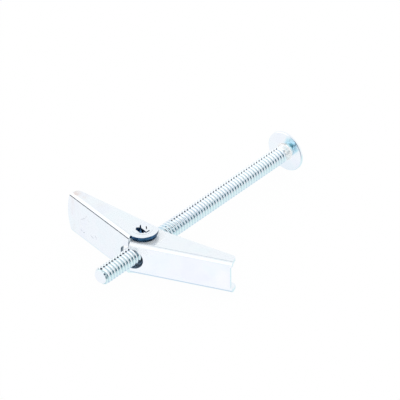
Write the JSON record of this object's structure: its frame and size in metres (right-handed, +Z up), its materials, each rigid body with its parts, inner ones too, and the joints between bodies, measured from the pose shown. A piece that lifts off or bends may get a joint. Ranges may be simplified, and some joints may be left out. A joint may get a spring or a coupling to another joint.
{
  "type": "toggle bolt",
  "caption": "Spring-wing toggle bolt: a truss-head machine screw with a trunnion nut that carries two sprung folding wings, for fixing to hollow walls.",
  "frame": {"origin": "on the screw's axis, in the plane of the head's flat seat", "axes": "+X along the screw from the head towards the tip, +Z up along the wings' pivot axis, +Y towards the inner wing"},
  "size_m": [0.0773, 0.053, 0.0132],
  "materials": {
    "screw_zinc": "bright zinc plate on rolled steel",
    "nut_zinc": "bright zinc plate on turned steel",
    "wing_zinc": "bright zinc plate on pressed sheet",
    "spring_steel": "bare spring wire"
  },
  "bodies": {
    "root": {"screw": "screw_zinc"},
    "nut": {"trunnion_nut": "nut_zinc", "torsion_spring": "spring_steel"},
    "outer_wing": {"outer_wing": "wing_zinc"},
    "inner_wing": {"inner_wing": "wing_zinc"}
  },
  "joints": [
    {"name": "nut_travel", "type": "slide", "parent": "root", "child": "nut", "axis": [1, 0, 0], "range_m": [-0.03069, 0.0127]},
    {"name": "outer_wing_fold", "type": "hinge", "parent": "nut", "child": "outer_wing", "pos_m": [0.05805, 0, 0], "axis": [0, 0, -1], "range_deg": [0, 79], "stiffness_Nm_per_rad": 0.012, "springref_deg": -34.38, "deforming": ["torsion_spring"]},
    {"name": "inner_wing_fold", "type": "hinge", "parent": "nut", "child": "inner_wing", "pos_m": [0.05805, 0, 0], "axis": [0, 0, 1], "range_deg": [0, 68.7], "stiffness_Nm_per_rad": 0.012, "springref_deg": -34.38, "deforming": ["torsion_spring"]}
  ]
}
